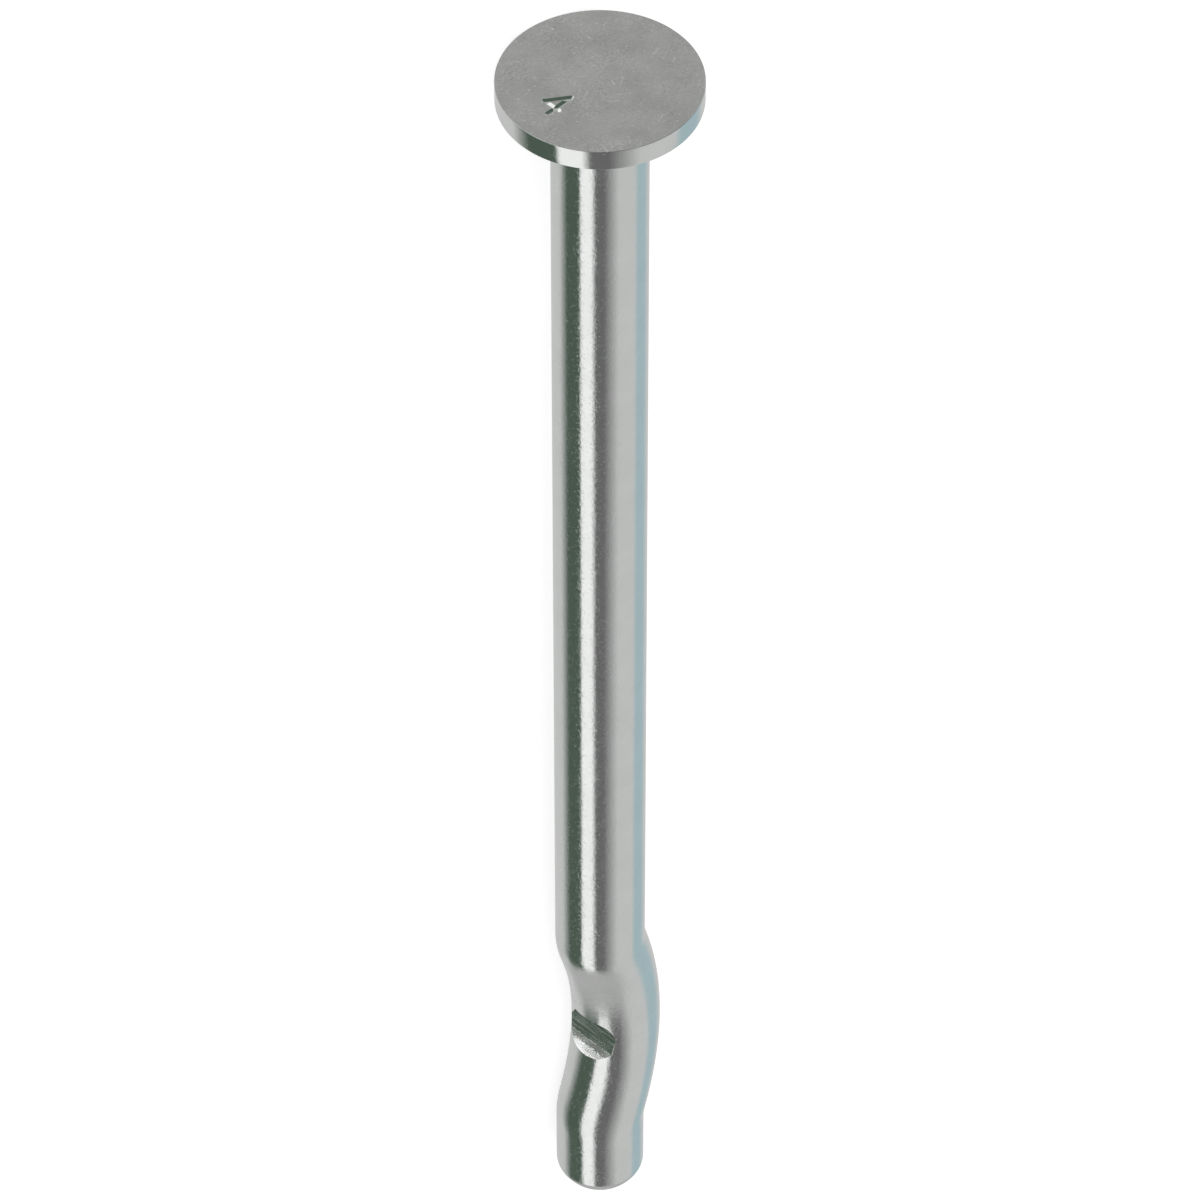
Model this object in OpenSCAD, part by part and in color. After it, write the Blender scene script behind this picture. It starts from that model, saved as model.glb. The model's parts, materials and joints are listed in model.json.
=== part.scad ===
// Crimp drive anchor: a one-piece expansion fastener that is hammered through a fixture into a
// drilled hole. A flat round head, a plain round shank and, near the tip, a crimp: the shank steps
// sideways and back again over a short length, with a notch pressed across its hollow side.
// The crimp is squeezed straight in the hole and so grips its wall.
// Millimetres, +Z up. The anchor is stored lying at rest, on three points: the edge of the head,
// the tip and the crown of the crimp. +X runs from the head to the tip, the notch faces -Y, and
// the origin is on the floor in the middle of the anchor's box.

/* [Shank] */
// Overall length, from the tip to the top of the head
length = 101.6; // [60:0.1:180]
// Diameter of the round shank
shank_d = 6.05; // [4.5:0.05:9]

/* [Head] */
// Diameter of the head
head_d = 12.75; // [9:0.05:22]
// Thickness of the head
head_t = 1.42; // [1:0.02:4]
// Radius of the head's two edges
head_edge_r = 0.06; // [0.05:0.01:0.4]
// Radius of the fillet between head and shank
neck_fillet_r = 0.4; // [0.1:0.05:1]

/* [Tip] */
// Length of the chamfer at the tip
tip_chamfer_l = 0.7; // [0.4:0.02:2]
// Width of the chamfer at the tip
tip_chamfer_w = 0.43; // [0.2:0.01:1.2]

/* [Crimp] */
// Distance from the tip to the crown of the crimp
crimp_at = 14.9; // [13:0.1:30]
// Sideways step of the shank at the crown
crimp_step = 1.55; // [1:0.05:2.4]
// Lean of the shank on each side of the crown, in degrees
crimp_lean = 16.7; // [12:0.1:22]
// Radius inside the bend at each end of the crimp
crimp_inner_r = 0.7; // [0.2:0.05:3]
// Radius of the crown, along the middle of the shank
crimp_crown_r = 25.5; // [8:0.5:40]
// How much the shank's radius swells where it is bent
crimp_swell = 0.02; // [0.01:0.01:0.1]

/* [Notch] */
// Depth of the notch at the head end of its flat
notch_depth = 0.86; // [0.3:0.01:1.4]
// Length of the flat in the notch, along the shank
notch_flat_l = 1.66; // [0.6:0.02:3]
// Tilt of the flat from the shank, in degrees; it gets shallower towards the tip
notch_tilt = 7.6; // [0:0.1:15]
// How far the head end of the flat lies above the crown
notch_above = 0.38; // [-1:0.02:1.5]
// Slope of the notch's wall on the tip side, in degrees from the shank
notch_ramp = 39.5; // [25:0.5:70]
// Depth of the rounded wall on the head side
notch_cheek_w = 1; // [0.5:0.05:2]
// Height of the rounded wall on the head side
notch_cheek_h = 1.43; // [0.5:0.05:3]

/* [Stamp] */
// Height of the numeral stamped on the head
stamp_h = 2; // [1:0.1:4]
// Width of the numeral's strokes
stamp_stroke = 0.26; // [0.1:0.02:0.5]
// Depth of the numeral
stamp_depth = 0.12; // [0.05:0.01:0.3]
// Distance of the numeral from the middle of the head, towards the notch side
stamp_off = 3.3; // [0:0.1:4]
// How far to the side of the crimp's plane the numeral sits
stamp_aside = 0.5; // [-3:0.1:3]

/* [Hidden] */
$fn = 96;

shank_r = shank_d / 2;
head_r = head_d / 2;
seat_z = length - head_t;             // underside of the head
cut = 1;                              // how far a cutting tool runs past what it cuts
lap = 0.1;                            // how far a stretch of shank runs into the next one

// The crimp's middle line: bend, leg, crown, leg, bend. The crown's radius gives way where it would
// leave less than leg_min of straight leg on each side.
leg_min = 0.25;
bend_r = shank_r + crimp_inner_r;
legs_and_bends = crimp_step / sin(crimp_lean) - bend_r * tan(crimp_lean / 2);
crown_r = min(crimp_crown_r, (legs_and_bends - leg_min) / tan(crimp_lean / 2));
crimp_leg = legs_and_bends - crown_r * tan(crimp_lean / 2);
crimp_half = (bend_r + crown_r) * sin(crimp_lean) + crimp_leg * cos(crimp_lean);
tip_straight = crimp_at - crimp_half;
top_straight = seat_z - crimp_at - crimp_half;

// Rest: a line along the belly of the anchor touches the shank where the tip's chamfer starts and
// the lower edge of the head. It is the floor, seen from the side.
touch_run = seat_z + head_edge_r - tip_chamfer_l;
touch_rise = head_r - head_edge_r - shank_r;
rest_tilt = atan2(touch_rise, touch_run) + asin(head_edge_r / norm([touch_run, touch_rise]));
floor_below = shank_r * cos(rest_tilt) - tip_chamfer_l * sin(rest_tilt);
// The anchor then rolls until the crown touches the same floor. roll_cos is the part of the crown's
// direction that points down, from the quadratic for a ring of radius crown_r that touches a plane.
roll_b = sin(rest_tilt) * (crimp_at - tip_chamfer_l) - shank_r * (1 - cos(rest_tilt)) - crimp_swell;
roll_p = crimp_step * (2 * crown_r - crimp_step);
roll_q = (crown_r - crimp_step) * roll_b;
roll_s = pow(crown_r * sin(rest_tilt), 2) - roll_b * roll_b;
roll_cos = (roll_q + sqrt(roll_q * roll_q - roll_p * roll_s)) / roll_p;
rest_roll = acos(roll_cos / cos(rest_tilt));
// Ends of the anchor's box along X, measured from the middle of the tip.
box_tip_x = (shank_r - tip_chamfer_w) * sin(rest_tilt);
box_head_x = -(length - head_edge_r) * cos(rest_tilt)
    - (head_r - head_edge_r) * sin(rest_tilt) - head_edge_r;

// Half of the head's outline, with both of its outer edges rounded.
module head_outline() {
    inner_r = head_r - head_edge_r;
    square([inner_r, head_t]);
    translate([0, head_edge_r]) square([head_r, head_t - 2 * head_edge_r]);
    for (z = [head_edge_r, head_t - head_edge_r])
        translate([inner_r, z]) circle(r = head_edge_r);
}

module head() {
    translate([0, 0, seat_z]) rotate_extrude() head_outline();
}

// The fillet between the shank and the underside of the head. Its foot lies just inside the shank.
module neck_fillet() {
    foot_r = shank_r - neck_fillet_r / 40;
    translate([0, 0, seat_z]) rotate_extrude() difference() {
        translate([0, -neck_fillet_r]) square([foot_r + neck_fillet_r, neck_fillet_r]);
        translate([foot_r + neck_fillet_r, -neck_fillet_r]) circle(r = neck_fillet_r);
    }
}

// A straight stretch of shank, up along Z from the origin, that laps into what is below and above.
module straight(l) {
    translate([0, 0, -lap]) cylinder(r = shank_r, h = l + 2 * lap);
}

// A bend of the shank that starts at the origin along +Z and turns towards +X, or towards -X for a
// negative angle. mid_r is the radius of the shank's middle line.
module bend(angle, mid_r) {
    turn = abs(angle);
    mirror([angle < 0 ? 1 : 0, 0, 0])
        translate([mid_r, 0, 0]) rotate([90, 0, 0]) rotate([0, 0, 180 - turn])
            rotate_extrude(angle = turn) translate([mid_r, 0]) circle(r = shank_r + crimp_swell);
}

// Moves its children to the end of a straight stretch, and to the end of a bend.
module past_straight(l) {
    translate([0, 0, l]) children();
}

module past_bend(angle, mid_r) {
    side = angle < 0 ? -1 : 1;
    translate([side * mid_r * (1 - cos(angle)), 0, mid_r * sin(abs(angle))])
        rotate([0, angle, 0]) children();
}

// The shank above the chamfer, each stretch starting where the last one ends.
module shank() {
    translate([0, 0, tip_chamfer_l]) cylinder(r = shank_r, h = tip_straight - tip_chamfer_l + lap);
    past_straight(tip_straight) {
        bend(crimp_lean, bend_r);
        past_bend(crimp_lean, bend_r) {
            straight(crimp_leg);
            past_straight(crimp_leg) {
                bend(-2 * crimp_lean, crown_r);
                past_bend(-2 * crimp_lean, crown_r) {
                    straight(crimp_leg);
                    past_straight(crimp_leg) {
                        bend(crimp_lean, bend_r);
                        past_bend(crimp_lean, bend_r) straight(top_straight);
                    }
                }
            }
        }
    }
}

module tip() {
    cylinder(r1 = shank_r - tip_chamfer_w, r2 = shank_r, h = tip_chamfer_l);
}

// Side view of the notch's tool: X is depth into the hollow side, Y is height along the anchor.
// Flat, ramp towards the tip, and a rounded cheek towards the head.
module notch_outline() {
    flat_top = [notch_depth, 0];
    flat_low = flat_top - notch_flat_l * [sin(notch_tilt), cos(notch_tilt)];
    ramp_low = flat_low - (flat_low[0] + cut) * [1, 1 / tan(notch_ramp)];
    cheek = [for (a = [0 : 10 : 90])
        [notch_depth - notch_cheek_w * (1 - cos(a)), notch_cheek_h * sin(a)]];
    polygon(concat([[-cut, notch_cheek_h], ramp_low, flat_low], cheek));
}

module notch() {
    hollow_x = crimp_step - shank_r;   // surface of the hollow side at the crown
    translate([hollow_x, 0, crimp_at + notch_above])
        rotate([90, 0, 0]) translate([0, 0, -shank_d]) linear_extrude(2 * shank_d) notch_outline();
}

// One stroke of the numeral, from p to q, with round ends.
module stroke(p, q) {
    run = q - p;
    for (end = [p, q]) translate(end) circle(d = stamp_stroke);
    translate(p) rotate(atan2(run[1], run[0]))
        translate([0, -stamp_stroke / 2]) square([norm(run), stamp_stroke]);
}

// A plain figure four, in the middle of its place, upright along Y.
module numeral() {
    top = [0.17, 0.5] * stamp_h;
    foot = [0.17, -0.5] * stamp_h;
    left = [-0.31, -0.18] * stamp_h;
    right = [0.33, -0.18] * stamp_h;
    stroke(top, foot);
    stroke(top, left);
    stroke(left, right);
}

module stamp() {
    translate([-stamp_off, stamp_aside, length - stamp_depth])
        rotate([0, 0, -90]) linear_extrude(stamp_depth + cut) numeral();
}

// The anchor upright on its tip, with the crown of the crimp towards +X.
module upright_anchor() {
    difference() {
        union() {
            tip();
            shank();
            neck_fillet();
            head();
        }
        notch();
        stamp();
    }
}

module anchor() {
    color("lightsteelblue")
        translate([-(box_tip_x + box_head_x) / 2, 0, floor_below])
            rotate([0, 0, 180]) rotate([0, 90 - rest_tilt, 0]) rotate([0, 0, -rest_roll])
                upright_anchor();
}

anchor();
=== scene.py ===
"""A crimp drive anchor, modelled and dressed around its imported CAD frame, in a plain white studio.

The anchor is one bar of bright zinc-plated steel. Its mesh grows ring by ring from the tip, through
the crimp and its notch, up to the head, in millimetres and standing on its tip: Z runs up to the
head and +X points to the crown of the crimp. Its finished mesh is then laid down where the CAD lies.
"""

import json
import logging
from dataclasses import dataclass, field
from enum import Enum
from math import acos, atan2, ceil, copysign, cos, hypot, pi, radians, sin, tan
from typing import Callable, Optional

import bmesh
import bpy
from mathutils import Matrix, Vector, noise

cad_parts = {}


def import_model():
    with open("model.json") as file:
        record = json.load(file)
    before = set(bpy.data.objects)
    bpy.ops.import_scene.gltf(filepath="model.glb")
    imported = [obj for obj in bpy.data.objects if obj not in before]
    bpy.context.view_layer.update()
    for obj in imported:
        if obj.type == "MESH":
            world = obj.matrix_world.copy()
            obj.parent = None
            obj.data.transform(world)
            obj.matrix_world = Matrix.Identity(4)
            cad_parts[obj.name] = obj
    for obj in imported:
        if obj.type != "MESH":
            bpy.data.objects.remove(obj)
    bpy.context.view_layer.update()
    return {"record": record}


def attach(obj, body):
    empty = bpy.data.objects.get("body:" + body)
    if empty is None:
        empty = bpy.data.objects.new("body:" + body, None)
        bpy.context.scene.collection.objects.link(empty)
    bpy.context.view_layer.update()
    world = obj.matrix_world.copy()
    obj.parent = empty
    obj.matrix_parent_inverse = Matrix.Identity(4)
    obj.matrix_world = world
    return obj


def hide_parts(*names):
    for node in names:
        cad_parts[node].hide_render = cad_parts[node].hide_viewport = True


log = logging.getLogger("anchor")

MM = 0.001                     # metres in a millimetre
ROUND_STEPS = 8                # straight pieces in the round of a turned edge
BEND_STEPS = 14                # rings in the bend at each end of the crimp
LEG_SHARES = (0.15, 0.7, 0.15)  # a leg's rings, closer together at its ends
EDGE_COLUMNS = 3               # columns in the round of the notch's edge
MOST_OF_SIDE = 0.45            # how much of an outline's piece the round at one end may take up
LEVEL_SLACK = 0.01             # two heights nearer than this, in millimetres, count as level
SPLIT_SLACK = 1e-5             # a vertex nearer than this to a split is on it
Point = tuple[float, float]
Colour = tuple[float, float, float]


# ---------------------------------------------------------------------------------------- sweep


class Zone(Enum):
    """The stretches of the anchor's skin that have a finish of their own, by material slot."""

    SHANK = 0
    HEAD_TOP = 1
    STAMP = 2
    NOTCH_FLAT = 3
    NOTCH_RAMP = 4
    NOTCH_RIM = 5
    NOTCH_CHEEK = 6
    HEAD_EDGE = 7


def smooth_step(share: float) -> float:
    """Eases a share from 0 to 1 in and out."""
    share = min(max(share, 0.0), 1.0)
    return share * share * (3 - 2 * share)


def between(low: float, high: float, share: float) -> float:
    """The value at that share of the way from low to high."""
    return low + (high - low) * share


def rounded_corner(before: Point, corner: Point, after: Point, reach: float, steps: int) -> list[Point]:
    """Rounds one corner of an outline.

    Args:
        before: the point before the corner.
        corner: the corner itself.
        after: the point after it.
        reach: how far from the corner the round starts and ends.
        steps: how many straight pieces make the round.

    Returns:
        The points of the round, its two ends among them.
    """
    ends = []
    for other in (before, after):
        run = (other[0] - corner[0], other[1] - corner[1])
        share = min(reach / hypot(*run), MOST_OF_SIDE)
        ends.append((corner[0] + run[0] * share, corner[1] + run[1] * share))
    points = []
    for step in range(steps + 1):
        t = step / steps
        a, b, c = (1 - t) ** 2, 2 * t * (1 - t), t * t
        points.append((a * ends[0][0] + b * corner[0] + c * ends[1][0],
                       a * ends[0][1] + b * corner[1] + c * ends[1][1]))
    return points


def rounded_line(points: list[Point], reaches: list[float], steps: int) -> list[Point]:
    """Rounds the inner corners of an open outline.

    Args:
        points: the outline's corners.
        reaches: for each inner corner, how far from it its round starts; 0 leaves it sharp.
        steps: how many straight pieces make each round.

    Returns:
        The outline's points with the rounds in place of the corners.
    """
    line = [points[0]]
    for k, reach in enumerate(reaches, start=1):
        if reach > 0:
            line += rounded_corner(points[k - 1], points[k], points[k + 1], reach, steps)
        else:
            line.append(points[k])
    return line + [points[-1]]


def refined(points: list[Point], longest: float) -> list[Point]:
    """Splits an outline's long pieces.

    Args:
        points: the outline.
        longest: how long a piece may be.

    Returns:
        The outline with points added.
    """
    line = [points[0]]
    for start, end in zip(points, points[1:]):
        count = max(1, ceil(hypot(end[0] - start[0], end[1] - start[1]) / longest))
        line += [(between(start[0], end[0], k / count), between(start[1], end[1], k / count))
                 for k in range(1, count + 1)]
    return line


class RingSweep:
    """Grows a closed skin from one ring of vertices: each step extrudes the last ring and moves it.

    Every vertex keeps the number of its column, counted from the hollow side of the crimp: 0 faces
    -X, and the numbers rise to one side and fall to the other.
    """

    def __init__(self, columns: int, radius: float) -> None:
        """Starts the skin with a closed disc in the XY plane.

        Args:
            columns: how many vertices a ring has.
            radius: radius of the disc.
        """
        self.columns = columns
        self.width = 2 * pi / columns
        self.radius = radius
        self.place = Matrix.Identity(4)
        self.mesh = bmesh.new()
        self.column = self.mesh.verts.layers.int.new("column")
        made = bmesh.ops.create_circle(self.mesh, cap_ends=True, segments=columns, radius=radius)
        for vert in made["verts"]:
            vert[self.column] = round(atan2(vert.co.y, -vert.co.x) / self.width)
        self.ring = list(made["verts"])
        self.edges = list(dict.fromkeys(edge for vert in self.ring for edge in vert.link_edges))

    def grow(self, place: Matrix, radius: float, zone: Zone = Zone.SHANK) -> list[bmesh.types.BMFace]:
        """Adds one ring.

        Args:
            place: where the new ring's middle is, and how it is turned.
            radius: its radius.
            zone: the finish of the faces between the last ring and this one.

        Returns:
            The new faces.
        """
        count = len(self.mesh.faces)
        made = bmesh.ops.extrude_edge_only(self.mesh, edges=self.edges)["geom"]
        self.ring = [part for part in made if isinstance(part, bmesh.types.BMVert)]
        fresh = set(self.ring)
        self.edges = [part for part in made
                      if isinstance(part, bmesh.types.BMEdge) and set(part.verts) <= fresh]
        scale = Matrix.Scale(radius / self.radius, 4)
        bmesh.ops.transform(self.mesh, matrix=place @ scale @ self.place.inverted(), verts=self.ring)
        self.place, self.radius = place, radius
        self.mesh.faces.ensure_lookup_table()
        faces = self.mesh.faces[count:]
        for face in faces:
            face.material_index = zone.value
        return faces

    def straight(self, length: float, radius: Optional[float] = None, zone: Zone = Zone.SHANK) -> None:
        """Adds a straight stretch of one step, with another radius at its end if one is given."""
        self.grow(self.place @ Matrix.Translation((0, 0, length)), radius or self.radius, zone)

    def turned(self, angle: float, mid_r: float) -> Matrix:
        """Where the next ring goes on a bend towards +X, or towards -X for a negative angle."""
        middle = Matrix.Translation((copysign(mid_r, angle), 0, 0))
        return self.place @ middle @ Matrix.Rotation(angle, 4, "Y") @ middle.inverted()

    def bend(self, angle: float, mid_r: float, steps: int) -> None:
        """Adds a bend of the whole bar, mid_r being the radius of the bar's middle line."""
        for _ in range(steps):
            self.grow(self.turned(angle / steps, mid_r), self.radius)

    def settle(self, on_bar: "Spread", limit: Optional[float] = None) -> None:
        """Puts the last ring's vertices in place, flattened on the hollow side if there is a limit.

        Args:
            on_bar: how the columns are spread round the bar.
            limit: how far the flattened side lies from the middle of the bar.
        """
        for vert in self.ring:
            column = vert[self.column]
            side = copysign(1, column)
            out, across = on_bar.spot(abs(column), self.radius, limit)
            vert.co = self.place @ Vector((-out, side * across, 0))

    def outline(self, points: list[Point], zone: Zone = Zone.SHANK, start: Optional[Matrix] = None) -> None:
        """Adds a ring for each point of an outline, given as radius and height.

        Args:
            points: the outline.
            zone: its finish.
            start: where its heights are measured from, or the last ring's place if not given.
        """
        start = (start or self.place).copy()
        for radius, height in points:
            self.grow(start @ Matrix.Translation((0, 0, height)), radius, zone)


@dataclass(frozen=True)
class Spread:
    """How a ring's columns are shared out between the notch and the rest of the bar's round.

    The first `inner` columns on each side of the hollow side's middle go to the notch, the next few
    to the round of its edge, and the others to the rest of the bar.
    """

    columns: int
    inner: int
    angle: float               # from the hollow side's middle to the notch's edge
    edge: float                # half of the angle that the round of the edge takes

    def spot(self, column: int, radius: float, limit: Optional[float]) -> Point:
        """One column's place in its ring.

        Args:
            column: the column's number, without its sign.
            radius: the bar's radius.
            limit: how far the flattened side lies from the middle of the bar, if it is flattened.

        Returns:
            How far out towards the hollow side and how far across from its middle the column is.
        """
        first = self.inner - 1
        last = first + EDGE_COLUMNS
        if column >= last:
            share = (column - last) / (self.columns / 2 - last)
            turn = between(self.angle + self.edge, pi, share)
            return radius * cos(turn), radius * sin(turn)
        if limit is None:
            turn = between(self.angle - self.edge, self.angle + self.edge, (column - first) / EDGE_COLUMNS)
            if column <= first:
                turn = (self.angle - self.edge) * column / first
            return radius * cos(turn), radius * sin(turn)
        half = radius * sin(self.angle)
        cut_back = min(self.edge * radius, half / 3)
        if column <= first:
            return limit, (half - cut_back) * column / first
        t = (column - first) / EDGE_COLUMNS
        a, b, c = (1 - t) ** 2, 2 * t * (1 - t), t * t
        out_end = radius * cos(self.angle + self.edge)
        across_end = radius * sin(self.angle + self.edge)
        return (a + b) * limit + c * out_end, a * (half - cut_back) + b * half + c * across_end


# -------------------------------------------------------------------------- pieces of the anchor


@dataclass(frozen=True)
class Tip:
    """The flat end of the bar and its chamfer."""

    length: float = 0.7
    width: float = 0.43
    end_round: float = 0.06
    shoulder_round: float = 0.3
    disc_inset: float = 0.5    # from the end's edge to the disc that the skin starts with
    rim_inset: float = 0.4     # from the end's edge to the first ring round that disc
    shank_run: float = 0.6     # how much plain shank the tip's outline takes in

    def build(self, sweep: RingSweep, shank_r: float) -> None:
        """Adds the end's rim, the chamfer, its soft shoulder and a little of the shank.

        Args:
            sweep: the skin, a disc so far.
            shank_r: the shank's radius.
        """
        end_r = shank_r - self.width
        corners = [(end_r - self.rim_inset, 0), (end_r, 0), (shank_r, self.length),
                   (shank_r, self.length + self.shank_run)]
        sweep.outline(rounded_line(corners, [self.end_round, self.shoulder_round], ROUND_STEPS))
        log.info("tip: end %.2f mm across, chamfer %.2f mm long", 2 * end_r, self.length)


@dataclass(frozen=True)
class Notch:
    """The notch pressed across the hollow side of the crimp."""

    depth: float = 0.86        # of the flat's upper end
    flat_l: float = 1.66
    tilt: float = radians(7.6)     # of the flat, which gets shallower towards the tip
    above: float = 0.38        # how far above the middle of the crown the flat ends
    ramp: float = radians(39.5)    # the ramp's angle to the bar's length
    ramp_w: float = 0.54       # how far out the ramp runs
    rim: float = radians(57)   # the same two for the facet at the ramp's rim
    rim_w: float = 0.17
    cheek_w: float = 1.113     # half axes of the ellipse that the cheek follows
    cheek_h: float = 2.48
    cheek_start: float = radians(25)    # where on the ellipse the cheek starts and ends
    cheek_end: float = radians(85.6)
    edge_round: float = 0.004  # how far the round of the notch's edge reaches
    lip_round: float = 0.018   # the same at the cheek
    lip_reach: float = 0.06    # how far from its corner each round of the profile starts
    rim_reach: float = 0.09
    corner_reach: float = 0.05
    top_reach: float = 0.04
    broken: float = 0.02       # how rough the ramp is
    crumbs: Point = (9.0, 21.0)    # how many coarse and fine crumbs the ramp has to a millimetre
    fine_share: float = 0.6    # how high the fine ones are beside the coarse ones
    rough_below: float = 0.985     # the ramp is rough where it lies deeper than this share of the radius
    droop: float = 0.05        # what is left of the cheek's height at the far end
    droop_from: float = 0.9    # where across the bar the droop starts
    droop_w: float = 0.9       # how far across the bar it takes to its full droop
    droop_l: float = 6.0       # how far up the crown it reaches
    past: float = 0.3          # how much of the plain bar the profile takes in at each end
    fine_step: float = 0.055   # longest step between rings on the ramp and its rim
    plain_step: float = 0.12   # the same on the flat and the cheek
    cheek_steps: int = 14
    corner_steps: int = 4      # straight pieces in the round of a corner
    inner: int = 32            # columns on each side of the notch's middle
    least_angle: float = radians(3)    # half of what it takes up round the bar where it runs out
    relax_l: float = 1.3       # how far past the notch the columns take to spread out again

    def profile(self, crown: "Crown") -> list[tuple[Point, Zone]]:
        """The notch seen from the side, from the tip's side to the head's.

        Args:
            crown: the crown that the notch is pressed into.

        Returns:
            Points as (X, Z) of the upright anchor, each with the finish of the stretch before it.
        """
        flat_top = (crown.hollow_x + self.depth, crown.at + self.above)
        corner = (flat_top[0] - self.flat_l * sin(self.tilt), flat_top[1] - self.flat_l * cos(self.tilt))
        rim = (corner[0] - self.ramp_w, corner[1] - self.ramp_w / tan(self.ramp))
        lip = (rim[0] - self.rim_w, rim[1] - self.rim_w / tan(self.rim))
        lip = crown.onto_hollow(lip)
        below = crown.along_hollow(lip, -self.past)
        cheek = []
        for step in range(1, self.cheek_steps + 1):
            turn = between(self.cheek_start, self.cheek_end, step / self.cheek_steps)
            cheek.append((flat_top[0] - self.cheek_w * (cos(self.cheek_start) - cos(turn)),
                          flat_top[1] + self.cheek_h * (sin(turn) - sin(self.cheek_start))))
        top_lip = crown.onto_hollow(cheek.pop())
        past = crown.along_hollow(top_lip, self.past)
        low = rounded_line([below, lip, rim, corner, flat_top],
                           [self.lip_reach, self.rim_reach, self.corner_reach], self.corner_steps)
        rim_end = next(k for k, point in enumerate(low) if point[1] > rim[1])
        ramp_end = next(k for k, point in enumerate(low) if point[1] > corner[1] - LEVEL_SLACK)
        stretches = ((refined(low[:rim_end + 1], self.fine_step), Zone.NOTCH_RIM),
                     (refined(low[rim_end:ramp_end + 1], self.fine_step), Zone.NOTCH_RAMP),
                     (refined(low[ramp_end:], self.plain_step), Zone.NOTCH_FLAT),
                     (refined([flat_top] + cheek, self.plain_step), Zone.NOTCH_CHEEK))
        points = [(below, Zone.SHANK)]
        for line, zone in stretches:
            points += [(point, zone) for point in line[1:]]
        end = rounded_corner(cheek[-1], top_lip, past, self.top_reach, self.corner_steps)
        return points + [(point, Zone.NOTCH_CHEEK) for point in end + [past]]

    def spread(self, sweep: RingSweep, angle: float, share: float, edge_round: float) -> Spread:
        """Shares out a ring's columns.

        Args:
            sweep: the skin so far.
            angle: where the notch's edge is.
            share: 0 where the notch is, 1 where the columns are evenly spread again.
            edge_round: how far the round of the notch's edge reaches.

        Returns:
            The columns' spread.
        """
        even = (self.inner + 0.5) * sweep.width
        edge = between(edge_round / sweep.radius, EDGE_COLUMNS / 2 * sweep.width, share)
        return Spread(sweep.columns, self.inner, between(angle, even, share), edge)

    def let_droop(self, sweep: RingSweep, crown: "Crown") -> None:
        """Lowers the cheek and the bar above it at the notch's +Y end.

        Args:
            sweep: the skin so far.
            crown: the crown that the notch is pressed into.
        """
        start, _ = crown.polar((crown.hollow_x + self.depth, crown.at + self.above))
        reach = self.droop_l / crown.mid_r
        for vert in sweep.mesh.verts:
            turn, out = crown.polar((vert.co.x, vert.co.z))
            past = (turn - start) / reach
            if 0 < past < 1 and out < crown.mid_r and vert.co.y > self.droop_from:
                least = between(1, self.droop, smooth_step((vert.co.y - self.droop_from) / self.droop_w))
                turn = start + reach * past * between(least, 1, smooth_step(past))
                vert.co.x, vert.co.z = crown.centre[0] + out * cos(turn), crown.centre[1] + out * sin(turn)

    def roughen(self, sweep: RingSweep) -> None:
        """Breaks up the last ring where it lies on the ramp.

        Args:
            sweep: the skin so far.
        """
        coarse, fine = self.crumbs
        for vert in sweep.ring:
            if abs(vert[sweep.column]) < self.inner - 1:
                shift = noise.noise(vert.co * coarse) + self.fine_share * noise.noise(vert.co * fine)
                vert.co.x += self.broken * shift


@dataclass(frozen=True)
class Crown:
    """The arch between the two legs of the crimp, as the middle line of the bar runs."""

    at: float                  # height above the tip
    step: float                # how far the bar has stepped aside
    mid_r: float
    shank_r: float

    @property
    def hollow_x(self) -> float:
        """Where the surface of the hollow side is at the crown."""
        return self.step - self.shank_r

    @property
    def centre(self) -> Point:
        """The middle of the arch."""
        return self.step - self.mid_r, self.at

    def polar(self, point: Point) -> Point:
        """A point's angle up from the crown and its distance from the arch's middle."""
        run = point[0] - self.centre[0], point[1] - self.centre[1]
        return atan2(run[1], run[0]), hypot(*run)

    def onto_hollow(self, point: Point) -> Point:
        """Moves a point onto the hollow side's middle line.

        Args:
            point: a point seen from the side, as (X, Z).

        Returns:
            The point of that line next to it.
        """
        turn, _ = self.polar(point)
        reach = self.mid_r - self.shank_r
        return self.centre[0] + reach * cos(turn), self.centre[1] + reach * sin(turn)

    def along_hollow(self, point: Point, run: float) -> Point:
        """The point of the hollow side's middle line a little further up, or down if run is below 0."""
        turn = self.polar(point)[0] + run / (self.mid_r - self.shank_r)
        return self.onto_hollow((self.centre[0] + cos(turn), self.centre[1] + sin(turn)))


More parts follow.
